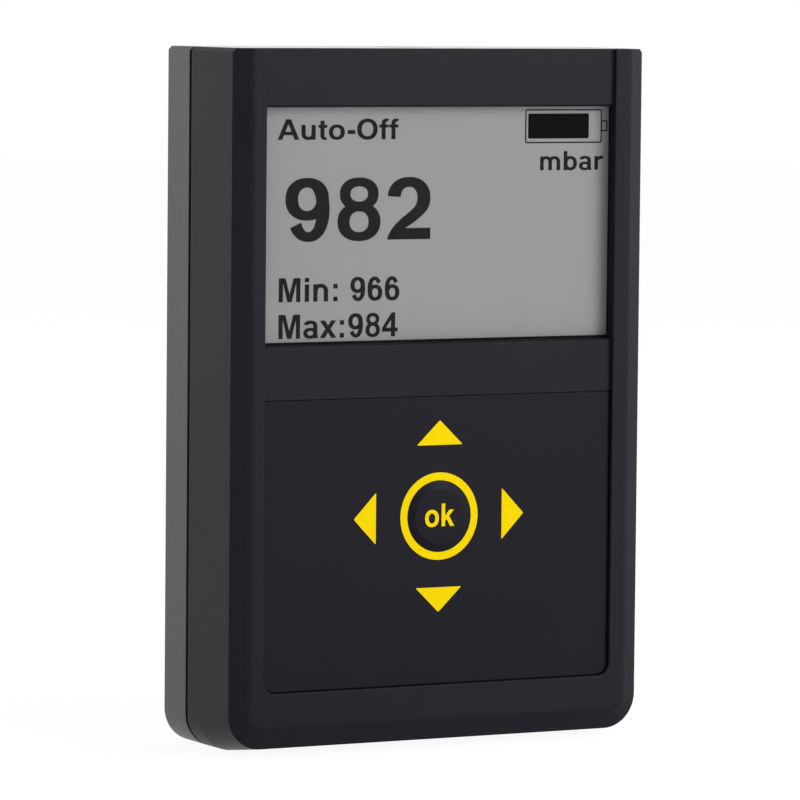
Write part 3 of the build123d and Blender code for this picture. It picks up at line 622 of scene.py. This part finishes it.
# Each material's function and what it takes after the name
case_black = (0.0066, 0.0057, 0.0104)
recipes = {
    # The third value is the lighter edge colour, for rubbed wear and a painted edge highlight
    "case_plastic": (moulded, case_black, (0.022, 0.021, 0.024), 0.42, 0.11),
    "rear_case_plastic": (moulded, case_black, (0.028, 0.027, 0.030), 0.44, 0.65),
    "keypad_film": (printed_film, (0.0078, 0.0068, 0.0118)),
    "yellow_ink": (ink, (1.0, 0.74, 0.0), 0.5, 0.97),
    "display_segments": (ink, (0.0185, 0.0185, 0.020), 0.6),
    "display_black": (ink, (0.002, 0.002, 0.002), 0.6),
    "display_grey": (display_grey,),
    "clear_pane": (clear_plastic,),
    "black_foam": (plain_surface, (0.008, 0.008, 0.009), 0.85, 4000.0, 0.05 * mm, 0.1),
    "plate_metal": (worked_metal, (0.66, 0.65, 0.63), 0.34, (12.0, 3500.0, 3500.0)),
    "stainless": (turned_metal, (0.56, 0.55, 0.53), 0.26),
    "screw_steel": (worked_metal, (0.42, 0.42, 0.43), 0.32, (1500.0, 1500.0, 1500.0)),
    "spring_steel": (worked_metal, (0.66, 0.65, 0.62), 0.25, (1200.0, 90.0, 1200.0)),
    "inner_plastic": (plain_surface, (0.05, 0.05, 0.052), 0.5, 2500.0, 0.01 * mm),
    "contact_rubber": (plain_surface, (0.10, 0.10, 0.11), 0.6, 3000.0, 0.01 * mm),
    "circuit_board": (plain_surface, (0.012, 0.13, 0.055), 0.3, 1200.0, 0.01 * mm, 0.5),
    "chip_plastic": (plain_surface, (0.03, 0.03, 0.032), 0.5, 5000.0, 0.006 * mm),
    "socket_plastic": (plain_surface, (0.75, 0.72, 0.62), 0.45, 2000.0, 0.006 * mm),
    "flex_film": (plain_surface, (0.62, 0.30, 0.05), 0.3, 900.0, 0.004 * mm, 0.5),
    "seal_rubber": (plain_surface, (0.02, 0.02, 0.02), 0.6, 3000.0, 0.008 * mm),
    "cell_jacket_left": (wrapped_cell, "battery_cell_left", True),
    "cell_jacket_right": (wrapped_cell, "battery_cell_right", False),
}
materials = {name: function(name, *values) for name, (function, *values) in recipes.items()}

# The nodes that show each material
finishes = {
    "case_plastic": ("front_shell",),
    "rear_case_plastic": ("rear_shell", "battery_door"),
    "keypad_film": ("keypad_foil",),
    "display_grey": ("lcd_panel",),
    "clear_pane": ("display_window",),
    "black_foam": ("display_gasket",),
    "plate_metal": ("end_plate",),
    "stainless": ("sensor_port", "sensor_cell"),
    "screw_steel": ("port_screws", "board_screws", "case_screws"),
    "spring_steel": ("sensor_clip", "contact_bridge", "contact_plus", "contact_minus"),
    "inner_plastic": ("display_holder",),
    "contact_rubber": ("zebra_strip",),
    "circuit_board": ("main_board",),
    "chip_plastic": ("microcontroller",),
    "socket_plastic": ("sensor_connector", "keypad_connector"),
    "flex_film": ("sensor_flex",),
    "seal_rubber": ("sensor_seal",),
    "cell_jacket_left": ("battery_cell_left",),
    "cell_jacket_right": ("battery_cell_right",),
}


def finish_nodes():
    """Gives each node its material."""
    for finish, node_names in finishes.items():
        for node_name in node_names:
            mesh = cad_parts[node_name].data
            mesh.materials.clear()
            mesh.materials.append(materials[finish])


# Keypad print

def keypad_piece(name, shapes, y_back):
    """A yellow print on the keypad."""
    flat_piece(name, shapes, y_back, materials["yellow_ink"])


def arrow(turn):
    """A triangle beside the key, pointing away from it; turn is in quarter turns from upward."""
    corners = [(-arrow_half_base, arrow_base_distance), (arrow_half_base, arrow_base_distance),
               (0.0, arrow_base_distance + arrow_height)]
    turned = [Matrix.Rotation(turn * math.pi / 2, 2) @ Vector(corner) for corner in corners]
    placed = [(corner.x + keypad_print_x, corner.y + key_centre_z) for corner in turned]
    return outline(rounded_polygon(placed, arrow_corner))


def add_keypad_print():
    """The ring round the key, the four arrows and the word on the key."""
    width = ring_outer - ring_inner
    key_ring = ring(keypad_print_x, key_centre_z, ring_outer, ring_outer, width, width, power=2.0)
    keypad_piece("key_ring_print", [key_ring], foil_front)
    for turn, direction in enumerate(("up", "left", "down", "right")):
        keypad_piece(f"arrow_{direction}_print", [arrow(turn)], foil_front)
    word = text_shapes("ok", -ok_half_width, ok_half_width, key_centre_z - ok_drop, ok_height)
    keypad_piece("ok_print", word, key_front)


# Display print

def display_piece(name, shapes, ink_name="display_segments"):
    """Dark segments on the display."""
    flat_piece(f"display_{name}", shapes, display_front, materials[ink_name])


def rounded_box(box, inset, radius):
    """The outline of a rectangle on the display, given in millimetres."""
    left, right, low, high = box
    corners = [(left + inset, low + inset), (right - inset, low + inset), (right - inset, high - inset),
               (left + inset, high - inset)]
    return [(x * mm, display_low + y * mm) for x, y in rounded_polygon(corners, radius)]


def thin_frame(box, radius):
    """A rectangle on the display, drawn with a thin line."""
    return outline(rounded_box(box, 0, radius), rounded_box(box, symbol_line, radius - symbol_line))


def add_display_print():
    """The lines of text and the battery sign."""
    for name, text, left, right, baseline, height in display_lines:
        shapes = text_shapes(text, left * mm, right * mm, display_low + baseline * mm, height * mm)
        display_piece(name, shapes)
    frames = [thin_frame(symbol_box, symbol_corner), thin_frame(nub_box, nub_corner)]
    display_piece("battery_outline", frames)
    charge = outline(rounded_box(charge_box, 0, charge_corner))
    display_piece("battery_charge", [charge], "display_black")


# Port thread

def thread_section(turn, top, last_turn):
    """The ridge's four corners at one angle; the ridge dies away at each end."""
    rise = min(1.0, turn / thread_run_out, (last_turn - turn) / thread_run_out)
    crest = thread_bore - (thread_bore - thread_crest) * rise
    root = thread_bore + thread_sink
    z = top - (turn + 0.5) * thread_pitch
    angle = 2 * math.pi * turn
    corners = ((root, -thread_foot), (crest, -thread_flat), (crest, thread_flat), (root, thread_foot))
    return [(radius * math.cos(angle), port_y + radius * math.sin(angle), z + share * thread_pitch)
            for radius, share in corners]


def add_port_thread():
    """The crests of the female thread, as one ridge that winds down the bore."""
    top = port_high.z - thread_lead_in
    last_turn = thread_length / thread_pitch - 1
    steps = int(last_turn * thread_sections)
    work = bmesh.new()
    rows = [[work.verts.new(corner) for corner in thread_section(last_turn * step / steps, top, last_turn)]
            for step in range(steps + 1)]
    for before, after in zip(rows, rows[1:]):
        for corner in range(4):
            following = (corner + 1) % 4
            work.faces.new([before[corner], before[following], after[following], after[corner]])
    work.faces.new(rows[0])
    work.faces.new(rows[-1][::-1])
    bmesh.ops.recalc_face_normals(work, faces=work.faces)
    case_piece("port_thread", work, materials["stainless"])


# Surroundings

def add_camera():
    """The camera that took the photograph."""
    yaw, fall, roll = (math.radians(angle) for angle in (camera_azimuth, camera_fall, camera_roll))
    forward = Vector((math.sin(yaw) * math.cos(fall), math.cos(yaw) * math.cos(fall), -math.sin(fall)))
    level_right = Vector((math.cos(yaw), -math.sin(yaw), 0))
    level_up = level_right.cross(forward)
    right = math.cos(roll) * level_right + math.sin(roll) * level_up
    up = math.cos(roll) * level_up - math.sin(roll) * level_right
    data = bpy.data.cameras.new("camera")
    data.lens = camera_lens
    data.sensor_width = camera_sensor
    data.clip_start = camera_nearest
    data.clip_end = camera_farthest
    camera = new_object("camera", data)
    camera.matrix_world = Matrix.Translation(camera_target - forward * camera_distance) @ Matrix(
        (right, up, -forward)).transposed().to_4x4()
    bpy.context.scene.camera = camera


def add_world():
    """White where the camera, a reflection or glass looks; a softer fill for everything else."""
    world = bpy.data.worlds.new("studio")
    world.use_nodes = True
    tree = world.node_tree
    tree.nodes.clear()
    looked_at = ray_is(tree, "Is Camera Ray", "Is Glossy Ray", "Is Transmission Ray")
    strength = spread(tree, looked_at, world_fill, 1.0, from_low=0.0, from_high=1.0)
    background = add(tree, "ShaderNodeBackground", Color=(1, 1, 1, 1))
    tree.links.new(strength, background.inputs["Strength"])
    output = tree.nodes.new("ShaderNodeOutputWorld")
    tree.links.new(background.outputs["Background"], output.inputs["Surface"])
    bpy.context.scene.world = world


def add_lamp(name, azimuth, elevation, distance, width, height, power):
    """A soft box that faces the middle of the case; azimuth 0 is in front of it, 90 to its right."""
    turn, rise = math.radians(azimuth), math.radians(elevation)
    away = Vector((math.sin(turn) * math.cos(rise), -math.cos(turn) * math.cos(rise), math.sin(rise)))
    data = bpy.data.lights.new(name, "AREA")
    data.shape = "RECTANGLE"
    data.size = width
    data.size_y = height
    data.energy = power
    lamp = new_object(name, data)
    lamp.location = Vector((0, 0, lamp_aim_height)) + away * distance
    lamp.rotation_mode = "QUATERNION"
    lamp.rotation_quaternion = (-away).to_track_quat("-Z", "Y")


def floor_white():
    """The floor's pale paint, which glows where the camera or a reflection looks."""
    made = new_material("floor_white", (0.93, 0.93, 0.93), 0.9, specular=0.0)
    tree = made.node_tree
    cloud = noise(tree, place_in(tree), 3.0)
    wire(made, Base_Color=mottle(tree, cloud, (0.92, 0.92, 0.92), (0.94, 0.94, 0.94)))
    looked_at = ray_is(tree, "Is Camera Ray", "Is Glossy Ray")
    share = spread(tree, looked_at, 0.0, floor_glow_share, from_low=0.0, from_high=1.0)
    glow = add(tree, "ShaderNodeEmission", Color=(1, 1, 1, 1), Strength=floor_glow)
    mix = tree.nodes.new("ShaderNodeMixShader")
    tree.links.new(share, mix.inputs["Fac"])
    tree.links.new(shader_of(made).outputs["BSDF"], mix.inputs[1])
    tree.links.new(glow.outputs["Emission"], mix.inputs[2])
    tree.links.new(mix.outputs["Shader"], tree.nodes["Material Output"].inputs["Surface"])
    return made


def add_floor():
    """A pale floor that keeps the shadow and fades into the white behind it."""
    work = bmesh.new()
    bmesh.ops.create_circle(work, cap_ends=True, segments=96, radius=floor_radius)
    floor = new_object("floor", new_mesh("floor", work, floor_white()))
    floor.location.z = -floor_drop


finish_nodes()
add_keypad_print()
add_display_print()
add_port_thread()
add_camera()
add_world()
add_floor()
for lamp_values in lamps:
    add_lamp(*lamp_values)

bpy.context.scene.view_settings.view_transform = "Standard"
